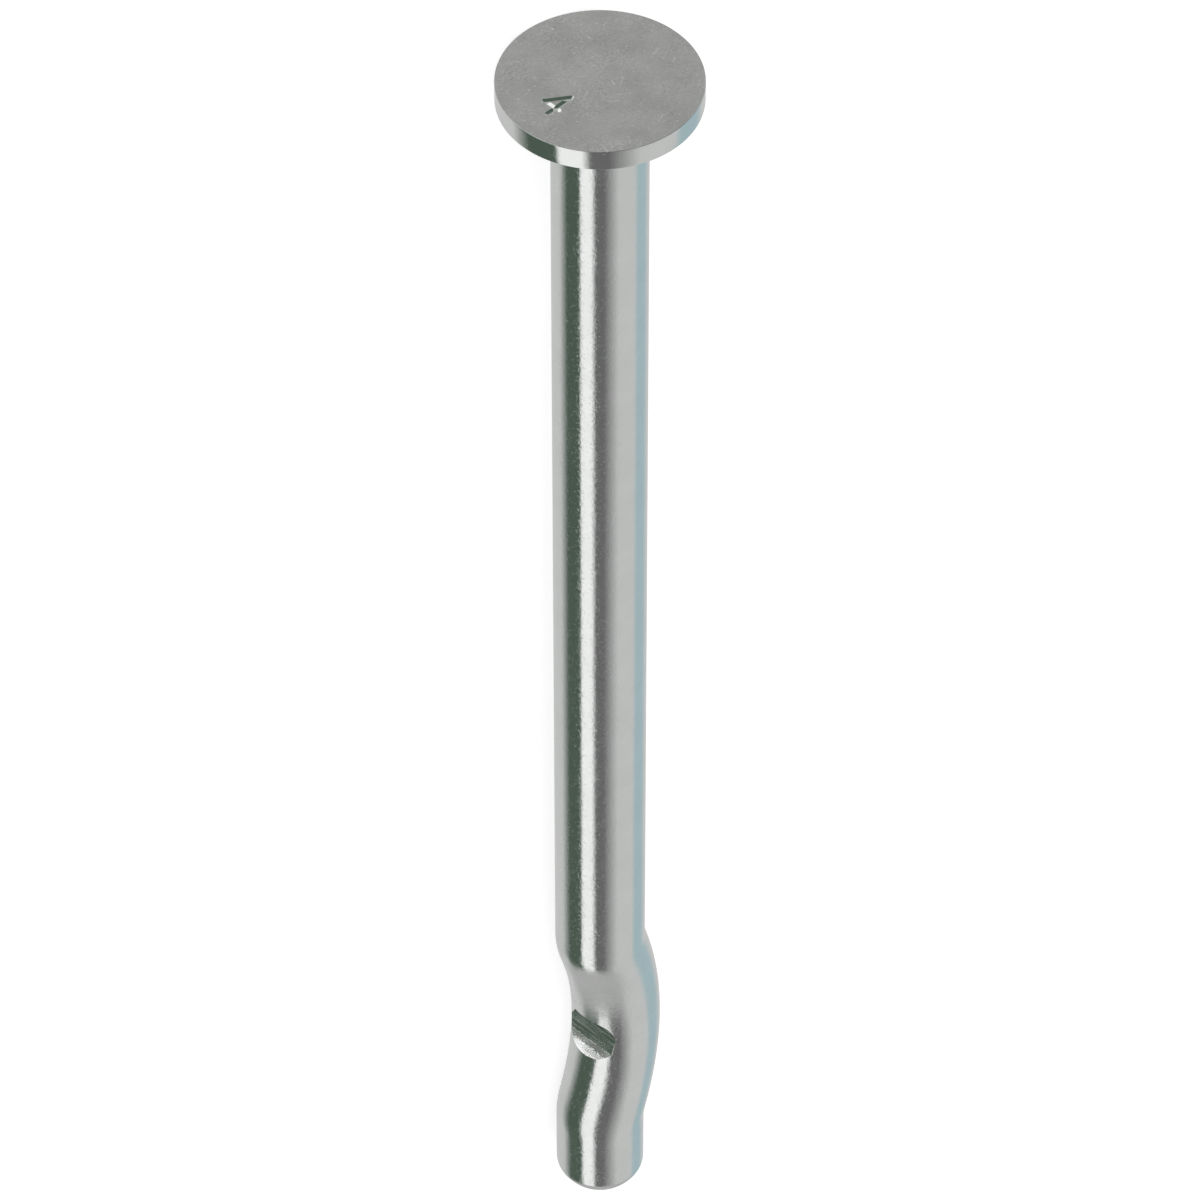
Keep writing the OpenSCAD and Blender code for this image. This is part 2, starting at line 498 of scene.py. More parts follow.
@dataclass(frozen=True)
class Crimp:
    """The bar's step to the side and back: bend, leg, crown, leg, bend, with the notch."""

    at: float = 14.9           # height of the crown above the tip
    step: float = 1.55
    lean: float = radians(16.7)
    inner_r: float = 0.7       # of the bends at the two ends
    crown_r: float = 25.5      # of the bar's middle line at the crown
    arch_steps: int = 12       # rings on each plain stretch of the arch
    relax_steps: int = 14      # rings where the columns crowd towards the notch
    notch: Notch = field(default_factory=Notch)

    def bend_r(self, shank_r: float) -> float:
        """Radius of the middle line of the bends at the two ends."""
        return shank_r + self.inner_r

    def leg(self, shank_r: float) -> float:
        """Length of the straight leg on each side of the crown."""
        return self.step / sin(self.lean) - (self.bend_r(shank_r) + self.crown_r) * tan(self.lean / 2)

    def half(self, shank_r: float) -> float:
        """Half of the crimp's length along the anchor."""
        bends = (self.bend_r(shank_r) + self.crown_r) * sin(self.lean)
        return bends + self.leg(shank_r) * cos(self.lean)

    def build(self, sweep: RingSweep) -> None:
        """Adds the whole crimp after the straight stretch above the tip.

        Args:
            sweep: the skin so far.
        """
        leg, bend_r = self.leg(sweep.radius), self.bend_r(sweep.radius)
        sweep.bend(self.lean, bend_r, BEND_STEPS)
        for share in LEG_SHARES:
            sweep.straight(leg * share)
        self._crown(sweep)
        for share in LEG_SHARES:
            sweep.straight(leg * share)
        sweep.bend(self.lean, bend_r, BEND_STEPS)
        log.info("crimp: %.2f mm long, steps aside %.2f mm", 2 * self.half(sweep.radius), self.step)

    def _crown(self, sweep: RingSweep) -> None:
        """Adds the arch, a ring for each point of the notch's profile and more at both sides.

        Args:
            sweep: the skin so far.
        """
        crown = Crown(self.at, self.step, self.crown_r, sweep.radius)
        turn, profile = -self.lean, self.notch.profile(crown)
        first, last = crown.polar(profile[0][0])[0], crown.polar(profile[-1][0])[0]
        relax = self.notch.relax_l / crown.mid_r
        for target, steps in ((first - relax, self.arch_steps), (first, self.relax_steps)):
            turn = self._arch(sweep, turn, target, steps, first, relax)
        cut = False
        for point, zone in profile[1:]:
            target, reach = crown.polar(point)
            cut = self._notch_ring(sweep, target - turn, crown.mid_r - reach, zone, cut)
            turn = target
        for target, steps in ((last + relax, self.relax_steps), (self.lean, self.arch_steps)):
            turn = self._arch(sweep, turn, target, steps, last, relax)
        self.notch.let_droop(sweep, crown)

    def _arch(self, sweep: RingSweep, turn: float, target: float, steps: int,
              notch_end: float, relax: float) -> float:
        """Adds plain rings of the arch, their columns crowding towards the notch's end.

        Args:
            sweep: the skin so far.
            turn: where on the arch it ends now.
            target: where on the arch it should end.
            steps: how many rings to add.
            notch_end: where on the arch the near end of the notch is.
            relax: how far from there the columns are evenly spread again.

        Returns:
            The target.
        """
        for step in range(1, steps + 1):
            now = between(turn, target, step / steps)
            share = smooth_step(abs(now - notch_end) / relax)
            sweep.grow(sweep.turned(-(target - turn) / steps, self.crown_r), sweep.radius)
            sweep.settle(self.notch.spread(sweep, self.notch.least_angle, share, self.notch.edge_round))
        return target

    def _notch_ring(self, sweep: RingSweep, turn: float, limit: float, zone: Zone, after_cut: bool) -> bool:
        """Adds a ring of the notch and gives the faces inside it their finish.

        Args:
            sweep: the skin so far.
            turn: how far along the arch the ring is from the last one.
            limit: how far the notch lies from the middle of the bar there.
            zone: the finish of the stretch.
            after_cut: whether the notch cuts into the last ring.

        Returns:
            Whether the notch cuts into this ring.
        """
        faces = sweep.grow(sweep.turned(-turn, self.crown_r), sweep.radius)
        full = sweep.radius * cos(self.notch.least_angle)
        angle = acos(min(limit, full) / sweep.radius)
        edge_round = self.notch.lip_round if zone is Zone.NOTCH_CHEEK else self.notch.edge_round
        spread = self.notch.spread(sweep, angle, 0, edge_round)
        cut = limit < full
        sweep.settle(spread, limit if cut else None)
        if zone is Zone.NOTCH_RAMP and limit < self.notch.rough_below * sweep.radius:
            self.notch.roughen(sweep)
        for face in faces:
            inside = all(abs(vert[sweep.column]) <= self.notch.inner for vert in face.verts)
            if inside and (cut or after_cut):
                face.material_index = zone.value
        return cut


@dataclass(frozen=True)
class Stroke:
    """One straight stroke of the stamped numeral."""

    start: Vector
    end: Vector
    width: float
    slope: float               # how wide the stroke's sloping sides are

    def depth_at(self, spot: Vector) -> float:
        """How deep the stroke is at a spot.

        Args:
            spot: a place on the head's top.

        Returns:
            0 outside the stroke, up to 1 on its floor.
        """
        run = self.end - self.start
        share = min(max((spot - self.start).dot(run) / run.length_squared, 0.0), 1.0)
        off = (spot - self.start - run * share).length
        return min(max((self.width / 2 - off) / self.slope, 0.0), 1.0)

    def cuts(self) -> list[tuple[Vector, Vector]]:
        """The lines along which the head is split for this stroke.

        Returns:
            For each line, a point of it and the direction across it.
        """
        along = (self.end - self.start).normalized()
        across = Vector((-along.y, along.x))
        edges = (self.width / 2, self.width / 2 - self.slope)
        sides = [(self.start + across * off * side, across) for off in edges for side in (-1, 1)]
        ends = [(self.start, along), (self.end, along)]
        ends += [(self.start - along * off, along) for off in edges]
        ends += [(self.end + along * off, along) for off in edges]
        return sides + ends


@dataclass(frozen=True)
class Stamp:
    """A plain figure four, stamped in the top of the head with its own top towards the crown's side."""

    height: float = 2.0
    stroke_w: float = 0.36
    slope: float = 0.17
    depth: float = 0.12
    off: float = 3.3           # from the head's middle towards the notch's side
    aside: float = 0.5         # from the head's middle towards +Y
    margin: float = 0.4        # how much of the head round the figure is split with it

    def strokes(self) -> list[Stroke]:
        """Lays out the figure's three strokes.

        Returns:
            The upright, the slanting stroke and the crossbar, on the head's top.
        """
        top, foot = self._corner(0.17, 0.5), self._corner(0.17, -0.5)
        left, right = self._corner(-0.31, -0.18), self._corner(0.33, -0.18)
        return [Stroke(start, end, self.stroke_w, self.slope)
                for start, end in ((top, foot), (top, left), (left, right))]

    def _corner(self, right: float, up: float) -> Vector:
        """A corner of the figure, given in shares of its height from its middle."""
        return Vector((up * self.height - self.off, self.aside - right * self.height))

    def build(self, mesh: bmesh.types.BMesh, cap: bmesh.types.BMFace) -> None:
        """Splits the head's top round the figure and sinks the figure's strokes into it.

        Args:
            mesh: the anchor's mesh.
            cap: the face that closes the head's top.
        """
        level = cap.calc_center_median().z
        half = self.height / 2 + self.margin
        faces = [cap]
        for x, y in ((1, 0), (-1, 0), (0, 1), (0, -1)):
            faces = self._split(mesh, faces, Vector((x * half - self.off, y * half + self.aside)),
                                Vector((x, y)))
        inside = [face for face in faces if self._within(face, half)]
        for stroke in self.strokes():
            for point, across in stroke.cuts():
                inside = self._split(mesh, inside, point, across)
        verts = {vert for face in inside for vert in face.verts}
        for vert in verts:
            depth = max(stroke.depth_at(vert.co.xy) for stroke in self.strokes())
            vert.co.z = level - self.depth * depth
        made = bmesh.ops.triangulate(mesh, faces=[face for face in inside if len(face.verts) > 3])["faces"]
        for face in made + [face for face in inside if face.is_valid]:
            if min(vert.co.z for vert in face.verts) < level - LEVEL_SLACK:
                face.material_index = Zone.STAMP.value
        log.info("stamp: a figure four, %.1f mm high and %.2f mm deep", self.height, self.depth)

    def _within(self, face: bmesh.types.BMFace, half: float) -> bool:
        """Whether a face lies in the square round the figure."""
        middle = face.calc_center_median()
        return abs(middle.x + self.off) < half and abs(middle.y - self.aside) < half

    def _split(self, mesh: bmesh.types.BMesh, faces: list[bmesh.types.BMFace],
               point: Vector, across: Vector) -> list[bmesh.types.BMFace]:
        """Splits faces along an upright plane.

        Args:
            mesh: the anchor's mesh.
            faces: the faces to split.
            point: a point of the plane.
            across: the plane's normal.

        Returns:
            The faces and what they were split into.
        """
        edges = list(dict.fromkeys(edge for face in faces for edge in face.edges))
        verts = list(dict.fromkeys(vert for face in faces for vert in face.verts))
        made = bmesh.ops.bisect_plane(mesh, geom=faces + edges + verts, dist=SPLIT_SLACK,
                                      plane_co=point.to_3d(), plane_no=across.to_3d())
        return [part for part in made["geom"] if isinstance(part, bmesh.types.BMFace)]


@dataclass(frozen=True)
class Head:
    """The flat round head, the fillet under it and the numeral on its top."""

    radius: float = 6.3725
    thickness: float = 1.42
    edge_r: float = 0.025
    neck_r: float = 0.4
    edge_steps: int = 9        # straight pieces in the round of each edge
    neck_steps: int = 10       # the same in the fillet
    under_inset: float = 0.1   # from the lower round to the last ring of the underside
    side_inset: float = 0.3    # from the head's faces to the rings on its side
    top_insets: Point = (0.02, 0.5)    # from the upper round to the rings on the top
    stamp: Stamp = field(default_factory=Stamp)

    def build(self, sweep: RingSweep) -> None:
        """Adds the neck, the underside, the rim and the closed top with its numeral.

        Args:
            sweep: the skin so far, up to where the neck starts.
        """
        neck = []
        for step in range(1, self.neck_steps + 1):
            turn = pi / 2 * step / self.neck_steps
            neck.append((sweep.radius + self.neck_r * (1 - cos(turn)), self.neck_r * sin(turn)))
        sweep.outline(neck)
        flat = self.radius - self.edge_r
        low_round, top_round = [], []
        for line, start, middle in ((low_round, -pi / 2, self.edge_r),
                                    (top_round, 0.0, self.thickness - self.edge_r)):
            for step in range(self.edge_steps + 1):
                turn = start + pi / 2 * step / self.edge_steps
                line.append((flat + self.edge_r * cos(turn), middle + self.edge_r * sin(turn)))
        side = [(self.radius, self.side_inset), (self.radius, self.thickness - self.side_inset), top_round[0]]
        seat = sweep.place.copy()
        underside = [(flat - self.under_inset, 0.0)]
        for line, zone in ((underside, Zone.SHANK), (low_round + side, Zone.HEAD_EDGE),
                           (top_round[1:], Zone.HEAD_TOP)):
            sweep.outline(line, zone, seat)
        for inset in self.top_insets:
            sweep.straight(0, flat - inset, Zone.HEAD_TOP)
        cap = bmesh.ops.contextual_create(sweep.mesh, geom=sweep.edges)["faces"][0]
        cap.material_index = Zone.HEAD_TOP.value
        self.stamp.build(sweep.mesh, cap)
        log.info("head: %.2f mm across, %.2f mm thick", 2 * self.radius, self.thickness)


# ------------------------------------------------------------------------------------- shaders


class Nodes:
    """Short ways to add and link the nodes of one tree."""

    def __init__(self, tree: bpy.types.NodeTree) -> None:
        """Empties the tree."""
        self.tree = tree
        tree.nodes.clear()

    def add(self, kind: str, **settings: object) -> bpy.types.Node:
        """Adds a node.

        Args:
            kind: its type's name.
            settings: properties to set on it.

        Returns:
            The node.
        """
        node = self.tree.nodes.new(kind)
        for name, value in settings.items():
            setattr(node, name, value)
        return node

    def link(self, source: bpy.types.NodeSocket, target: bpy.types.NodeSocket) -> None:
        """Links two sockets."""
        self.tree.links.new(source, target)

    def put(self, socket: bpy.types.NodeSocket, value: object) -> None:
        """Sets a socket, or links another socket to it.

        Args:
            socket: the socket to feed.
            value: a number, a colour or the other socket.
        """
        if isinstance(value, bpy.types.NodeSocket):
            self.link(value, socket)
        else:
            socket.default_value = value

    def math(self, operation: str, first: object, second: object = 0.0,
             clamp: bool = False) -> bpy.types.NodeSocket:
        """Adds a Math node.

        Args:
            operation: what it does.
            first: its first value, a number or a socket.
            second: its second value.
            clamp: whether it keeps its result between 0 and 1.

        Returns:
            The result.
        """
        node = self.add("ShaderNodeMath", operation=operation, use_clamp=clamp)
        self.put(node.inputs[0], first)
        self.put(node.inputs[1], second)
        return node.outputs[0]

    def dot(self, vector: bpy.types.NodeSocket, direction: Vector) -> bpy.types.NodeSocket:
        """Adds a dot product.

        Args:
            vector: a vector socket.
            direction: a fixed direction.

        Returns:
            The product.
        """
        node = self.add("ShaderNodeVectorMath", operation="DOT_PRODUCT")
        self.link(vector, node.inputs[0])
        node.inputs[1].default_value = direction
        return node.outputs["Value"]

    def fade(self, value: object, start: float, end: float, low: float = 0.0,
             high: float = 1.0) -> bpy.types.NodeSocket:
        """Eases from one number to another.

        Args:
            value: the value that the result follows.
            start: where it starts to change.
            end: where it stops.
            low: the result up to the start.
            high: the result from the end on.

        Returns:
            The eased number.
        """
        node = self.add("ShaderNodeMapRange", interpolation_type="SMOOTHSTEP")
        for socket, number in zip(node.inputs[1:5], (start, end, low, high)):
            socket.default_value = number
        self.put(node.inputs["Value"], value)
        return node.outputs["Result"]

    def mix(self, share: object, first: object, second: object) -> bpy.types.NodeSocket:
        """Mixes two colours.

        Args:
            share: the second colour's share.
            first: the first colour, or its socket.
            second: the second colour, or its socket.

        Returns:
            The mixed colour.
        """
        node = self.add("ShaderNodeMix", data_type="RGBA")
        self.put(node.inputs["Factor"], share)
        for socket, value in zip((node.inputs[6], node.inputs[7]), (first, second)):
            self.put(socket, value if isinstance(value, bpy.types.NodeSocket) else (*value, 1.0))
        return node.outputs[2]

    def stretch(self, vector: bpy.types.NodeSocket, scale: Colour,
                turn: Colour = (0.0, 0.0, 0.0)) -> bpy.types.NodeSocket:
        """Turns and then scales a vector.

        Args:
            vector: the vector's socket.
            scale: its three scales.
            turn: its three turns, in radians.

        Returns:
            The turned and scaled vector.
        """
        spun = self.add("ShaderNodeVectorRotate", rotation_type="EULER_XYZ")
        self.link(vector, spun.inputs["Vector"])
        spun.inputs["Rotation"].default_value = turn
        node = self.add("ShaderNodeMapping", vector_type="POINT")
        self.link(spun.outputs[0], node.inputs["Vector"])
        node.inputs["Scale"].default_value = scale
        return node.outputs[0]

    def noise(self, vector: object, scale: object, detail: float = 2.0,
              rough: float = 0.5) -> bpy.types.NodeSocket:
        """Adds a Noise Texture.

        Args:
            vector: the place.
            scale: its scale.
            detail: how many finer layers it has.
            rough: how strong they are.

        Returns:
            Its value, about 0.5 on average.
        """
        node = self.add("ShaderNodeTexNoise")
        for name, value in (("Vector", vector), ("Scale", scale), ("Detail", detail), ("Roughness", rough)):
            self.put(node.inputs[name], value)
        return node.outputs["Fac"]

    def signed(self, value: object) -> bpy.types.NodeSocket:
        """Turns a value from 0 to 1 into one from -1 to 1."""
        return self.math("MULTIPLY", self.math("SUBTRACT", value, 0.5), 2.0)

    def dots(self, vector: object, scale: object, amount: object, radius: float) -> bpy.types.NodeSocket:
        """Scatters soft dots, or lines where the vector is stretched.

        Args:
            vector: the place.
            scale: how many cells to a unit, each with at most one dot.
            amount: the share of the cells that have one.
            radius: the dots' radius in cells.

        Returns:
            A mask, 1 in a dot's middle.
        """
        cells = self.add("ShaderNodeTexVoronoi", feature="F1")
        self.put(cells.inputs["Vector"], vector)
        self.put(cells.inputs["Scale"], scale)
        parts = self.add("ShaderNodeSeparateColor")
        self.link(cells.outputs["Color"], parts.inputs["Color"])
        some = self.math("LESS_THAN", parts.outputs["Red"], amount)
        strength = self.math("MULTIPLY", some, self.fade(parts.outputs["Green"], 0.0, 1.0, 0.35, 1.0))
        return self.math("MULTIPLY", self.fade(cells.outputs["Distance"], radius, radius * 0.35), strength)


@dataclass(frozen=True)
class Marks:
    """Fine lines that cross each other: how long and thin their cells are, and which ways they turn."""

    cells: Colour              # cells to a millimetre along the three axes
    radius: float              # a line's radius in cells
    turns: tuple[Colour, ...]

    def mask(self, nodes: Nodes, place: bpy.types.NodeSocket, given: object) -> bpy.types.NodeSocket:
        """Adds the lines.

        Args:
            nodes: the group's nodes.
            place: where they are looked up.
            given: the sockets of the group's inputs.

        Returns:
            Their mask.
        """
        total: object = 0.0
        for turn in self.turns:
            along = nodes.stretch(place, self.cells, turn)
            lines = nodes.dots(along, given["Scale"], given["Amount"], self.radius)
            total = nodes.math("MAXIMUM", total, lines)
        return total


SCRATCHES = Marks((0.35, 9.0, 9.0), 0.24, ((0.0, 0.0, 0.5), (0.1, 0.0, 1.9), (0.0, 0.0, 2.9),
                                           (0.3, 1.3, 0.2), (0.0, 1.75, 0.9)))
HAIRS = Marks((11.5, 11.5, 2.6), 0.42, ((1.0, 0.0, 0.3), (-1.0, 0.0, 1.2), (0.9, 0.6, 2.2),
                                        (-0.8, -0.9, 0.0)))
SPECK_R = 0.16                 # in cells
BEND_SCALE = 0.5               # of the clouds that bend the scratches
BEND = (1.2, 1.2, 1.2)         # how far they bend them, in millimetres


class Effects:
    """Surface effects that several finishes share, each built once as a node group.

    Every group takes the place on the upright anchor in millimetres, a scale and an amount, and
    puts out a mask.
    """

    def __init__(self) -> None:
        """Builds the groups."""
        self.grain = self._group("plating_grain", self._grain)
        self.specks = self._group("plating_specks", self._specks)
        self.scratches = self._group("hair_scratches", self._scratches)
        self.hairs = self._group("short_hairs", self._hairs)
        self.drawing = self._group("drawing_lines", self._drawing)

    def _group(self, name: str, build: Callable[[Nodes, object], bpy.types.NodeSocket]) -> bpy.types.NodeTree:
        """Makes one group.

        Args:
            name: the group's name.
            build: the method that fills it and returns the socket of its mask.

        Returns:
            The group.
        """
        tree = bpy.data.node_groups.new(name, "ShaderNodeTree")
        tree.interface.new_socket("Place", in_out="INPUT", socket_type="NodeSocketVector")
        tree.interface.new_socket("Scale", in_out="INPUT", socket_type="NodeSocketFloat")
        tree.interface.new_socket("Amount", in_out="INPUT", socket_type="NodeSocketFloat")
        tree.interface.new_socket("Mask", in_out="OUTPUT", socket_type="NodeSocketFloat")
        nodes = Nodes(tree)
        start = nodes.add("NodeGroupInput")
        end = nodes.add("NodeGroupOutput")
        nodes.link(build(nodes, start.outputs), end.inputs["Mask"])
        return tree

    def _grain(self, nodes: Nodes, given: object) -> bpy.types.NodeSocket:
        """The fine crystalline grain of the plating, stronger in patches.

        Args:
            nodes: the group's nodes.
            given: the sockets of its inputs.

        Returns:
            The mask.
        """
        fine = nodes.signed(nodes.noise(given["Place"], given["Scale"], 3.0, 0.62))
        patches = nodes.fade(nodes.noise(given["Place"], 0.6, 2.0), 0.38, 0.66, 0.3, 1.0)
        return nodes.math("MULTIPLY", nodes.math("MULTIPLY", fine, patches), given["Amount"])

    def _specks(self, nodes: Nodes, given: object) -> bpy.types.NodeSocket:
        """Sparse tiny nibs.

        Args:
            nodes: the group's nodes.
            given: the sockets of its inputs.

        Returns:
            The mask.
        """
        return nodes.dots(given["Place"], given["Scale"], given["Amount"], SPECK_R)

    def _scratches(self, nodes: Nodes, given: object) -> bpy.types.NodeSocket:
        """Short thin bent scratches in a few directions.

        Args:
            nodes: the group's nodes.
            given: the sockets of its inputs.

        Returns:
            The mask.
        """
        drift = nodes.add("ShaderNodeTexNoise")
        nodes.link(given["Place"], drift.inputs["Vector"])
        drift.inputs["Scale"].default_value = BEND_SCALE
        bent = nodes.add("ShaderNodeVectorMath", operation="MULTIPLY_ADD")
        nodes.link(drift.outputs["Color"], bent.inputs[0])
        bent.inputs[1].default_value = BEND
        nodes.link(given["Place"], bent.inputs[2])
        return SCRATCHES.mask(nodes, bent.outputs[0], given)

    def _hairs(self, nodes: Nodes, given: object) -> bpy.types.NodeSocket:
        """Dense hair-fine nicks, slanting both ways across the bar.

        Args:
            nodes: the group's nodes.
            given: the sockets of its inputs.

        Returns:
            The mask.
        """
        return HAIRS.mask(nodes, given["Place"], given)

    def _drawing(self, nodes: Nodes, given: object) -> bpy.types.NodeSocket:
        """Faint lines along the bar, left by drawing it.

        Args:
            nodes: the group's nodes.
            given: the sockets of its inputs.

        Returns:
            The mask.
        """
        lines = nodes.noise(nodes.stretch(given["Place"], (1.0, 1.0, 0.012)), given["Scale"], 3.0, 0.6)
        return nodes.math("MULTIPLY", nodes.signed(lines), given["Amount"])


STREAK_CELLS = (0.2, 0.05, 1.0)    # of the streaks along the notch
PRESS_CELLS = (5.0, 5.0, 0.35)     # of the streaks that the press leaves along the bar
PRESS_DENTS = 0.006                # their dents' and streaks' height, in millimetres
PRESS_STREAKS = 0.0016
PRESS_ROUGH = 0.1
PRESS_STARTS, PRESS_STOPS = 1.5, 2.0    # half the run over which they come and go
LEAST_ROUGH = 0.03


@dataclass(frozen=True)
class Cover:
    """How one shared effect shows on a finish."""

    scale: float
    amount: float = 1.0
    height: float = 0.0        # in millimetres
    rough: float = 0.0         # added to the roughness
    light: float = 0.0         # share by which the plating gets lighter


@dataclass(frozen=True)
class Zinc:
    """A finish of the zinc plating; the tints of the notch's ramp, rim and cheek also hold painted light and
    shade.

    The two tints and the two roughnesses are what the plating varies between in soft patches.
    """

    name: str
    tints: tuple[Colour, Colour]
    roughness: Point
    patch_scale: float
    grain: Cover
    specks: Optional[Cover] = None
    scratches: Optional[Cover] = None
    hairs: Optional[Cover] = None
    drawing: Optional[Cover] = None
    streaks: Optional[Cover] = None    # along the notch
    press: Optional[Point] = None      # the stretch above the tip that the press has left uneven
    highlight_to_shade: Optional[Point] = None      # from where to where up the bar the second tint, a painted highlight, gives way to the first, painted shade

    def material(self, effects: Effects, place: Matrix) -> bpy.types.Material:
        """Makes the material.

        Args:
            effects: the shared groups.
            place: where the upright anchor lies in the scene.

        Returns:
            The material.
        """
        material = bpy.data.materials.new(self.name)
        material.use_nodes = True
        nodes = Nodes(material.node_tree)
        upright = self._upright(nodes, place)
        patches = self._patches(nodes, upright)
        rough = nodes.fade(nodes.noise(upright, self.patch_scale * 2.3, 3.0), 0.25, 0.75, *self.roughness)
        light = 1.0
        height, scuffed = self._press(nodes, upright)
        rough = nodes.math("ADD", rough, scuffed) if self.press else rough
        for mask, cover in self._masks(nodes, effects, upright):
            height = self._add(nodes, height, mask, cover.height)
            rough = self._add(nodes, rough, mask, cover.rough)
            light = self._add(nodes, light, mask, cover.light)
        tint = nodes.add("ShaderNodeVectorMath", operation="SCALE")
        nodes.link(nodes.mix(patches, *self.tints), tint.inputs[0])
        nodes.put(tint.inputs["Scale"], light)
        shader = nodes.add("ShaderNodeBsdfPrincipled")
        shader.inputs["Metallic"].default_value = 1.0
        nodes.link(tint.outputs[0], shader.inputs["Base Color"])
        nodes.link(nodes.math("MAXIMUM", rough, LEAST_ROUGH), shader.inputs["Roughness"])
        bump = nodes.add("ShaderNodeBump")
        bump.inputs["Strength"].default_value = 1.0
        bump.inputs["Distance"].default_value = MM
        nodes.link(height, bump.inputs["Height"])
        nodes.link(bump.outputs["Normal"], shader.inputs["Normal"])
        end = nodes.add("ShaderNodeOutputMaterial")
        nodes.link(shader.outputs["BSDF"], end.inputs["Surface"])
        return material

    def _upright(self, nodes: Nodes, place: Matrix) -> bpy.types.NodeSocket:
        """Turns Object coordinates into the upright anchor's millimetres.

        Args:
            nodes: the material's nodes.
            place: where the upright anchor lies in the scene.

        Returns:
            The place on the upright anchor.
        """
        source = nodes.add("ShaderNodeTexCoord")
        mapping = nodes.add("ShaderNodeMapping", vector_type="TEXTURE")
        mapping.inputs["Location"].default_value = place.to_translation()
        mapping.inputs["Rotation"].default_value = place.to_euler()
        mapping.inputs["Scale"].default_value = (MM, MM, MM)
        nodes.link(source.outputs["Object"], mapping.inputs["Vector"])
        return mapping.outputs["Vector"]

    def _patches(self, nodes: Nodes, upright: bpy.types.NodeSocket) -> bpy.types.NodeSocket:
        """The share of the second tint: soft patches, or, on the ramp, crisp crumbs of painted highlight that
        thin out up the bar into painted shade.

        Args:
            nodes: the material's nodes.
            upright: the place on the upright anchor.

        Returns:
            The share.
        """
        cloud = nodes.noise(upright, self.patch_scale, 4.0, 0.6)
        if self.highlight_to_shade is None:
            return nodes.fade(cloud, 0.3, 0.7)
        parts = nodes.add("ShaderNodeSeparateXYZ")
        nodes.link(upright, parts.inputs[0])
        shift = nodes.fade(parts.outputs["Z"], *self.highlight_to_shade, 0.3, -0.24)
        return nodes.fade(nodes.math("ADD", cloud, shift), 0.48, 0.53)

    def _add(self, nodes: Nodes, total: object, mask: bpy.types.NodeSocket, share: float) -> object:
        """Adds a share of a mask to a total, if it has a share."""
        return nodes.math("ADD", nodes.math("MULTIPLY", mask, share), total) if share else total

    def _masks(self, nodes: Nodes, effects: Effects,
               upright: bpy.types.NodeSocket) -> list[tuple[bpy.types.NodeSocket, Cover]]:
        """Places the shared groups this finish has.

        Args:
            nodes: the material's nodes.
            effects: the shared groups.
            upright: the place on the upright anchor.

        Returns:
            The mask of each effect and how it shows.
        """
        masks = []
        for tree, cover in ((effects.grain, self.grain), (effects.specks, self.specks),
                            (effects.scratches, self.scratches), (effects.hairs, self.hairs),
                            (effects.drawing, self.drawing)):
            if cover is None:
                continue
            group = nodes.add("ShaderNodeGroup", node_tree=tree)
            nodes.link(upright, group.inputs["Place"])
            group.inputs["Scale"].default_value = cover.scale
            group.inputs["Amount"].default_value = cover.amount
            masks.append((group.outputs["Mask"], cover))
        if self.streaks:
            lines = nodes.noise(nodes.stretch(upright, STREAK_CELLS), self.streaks.scale, 5.0, 0.68)
            masks.append((nodes.fade(lines, 0.4, 0.68), self.streaks))
        return masks

    def _press(self, nodes: Nodes, upright: bpy.types.NodeSocket) -> tuple[object, object]:
        """What crimping leaves on the bar.

        Args:
            nodes: the material's nodes.
            upright: the place on the upright anchor.

        Returns:
            The height of its soft dents in millimetres and the roughness it adds, both 0 elsewhere.
        """
        if self.press is None:
            return 0.0, 0.0
        parts = nodes.add("ShaderNodeSeparateXYZ")
        nodes.link(upright, parts.inputs[0])
        rise, (low, high) = parts.outputs["Z"], self.press
        here = nodes.math("MULTIPLY", nodes.fade(rise, low - PRESS_STARTS, low + PRESS_STARTS),
                          nodes.fade(rise, high + PRESS_STOPS, high - PRESS_STOPS))
        dents = nodes.math("MULTIPLY", nodes.noise(upright, 1.1, 2.0, 0.5), PRESS_DENTS)
        streaks = nodes.noise(nodes.stretch(upright, PRESS_CELLS), 1.0, 3.0)
        height = nodes.math("ADD", dents, nodes.math("MULTIPLY", streaks, PRESS_STREAKS))
        rough = nodes.fade(streaks, 0.42, 0.7, 0.0, PRESS_ROUGH)
        return nodes.math("MULTIPLY", height, here), nodes.math("MULTIPLY", rough, here)


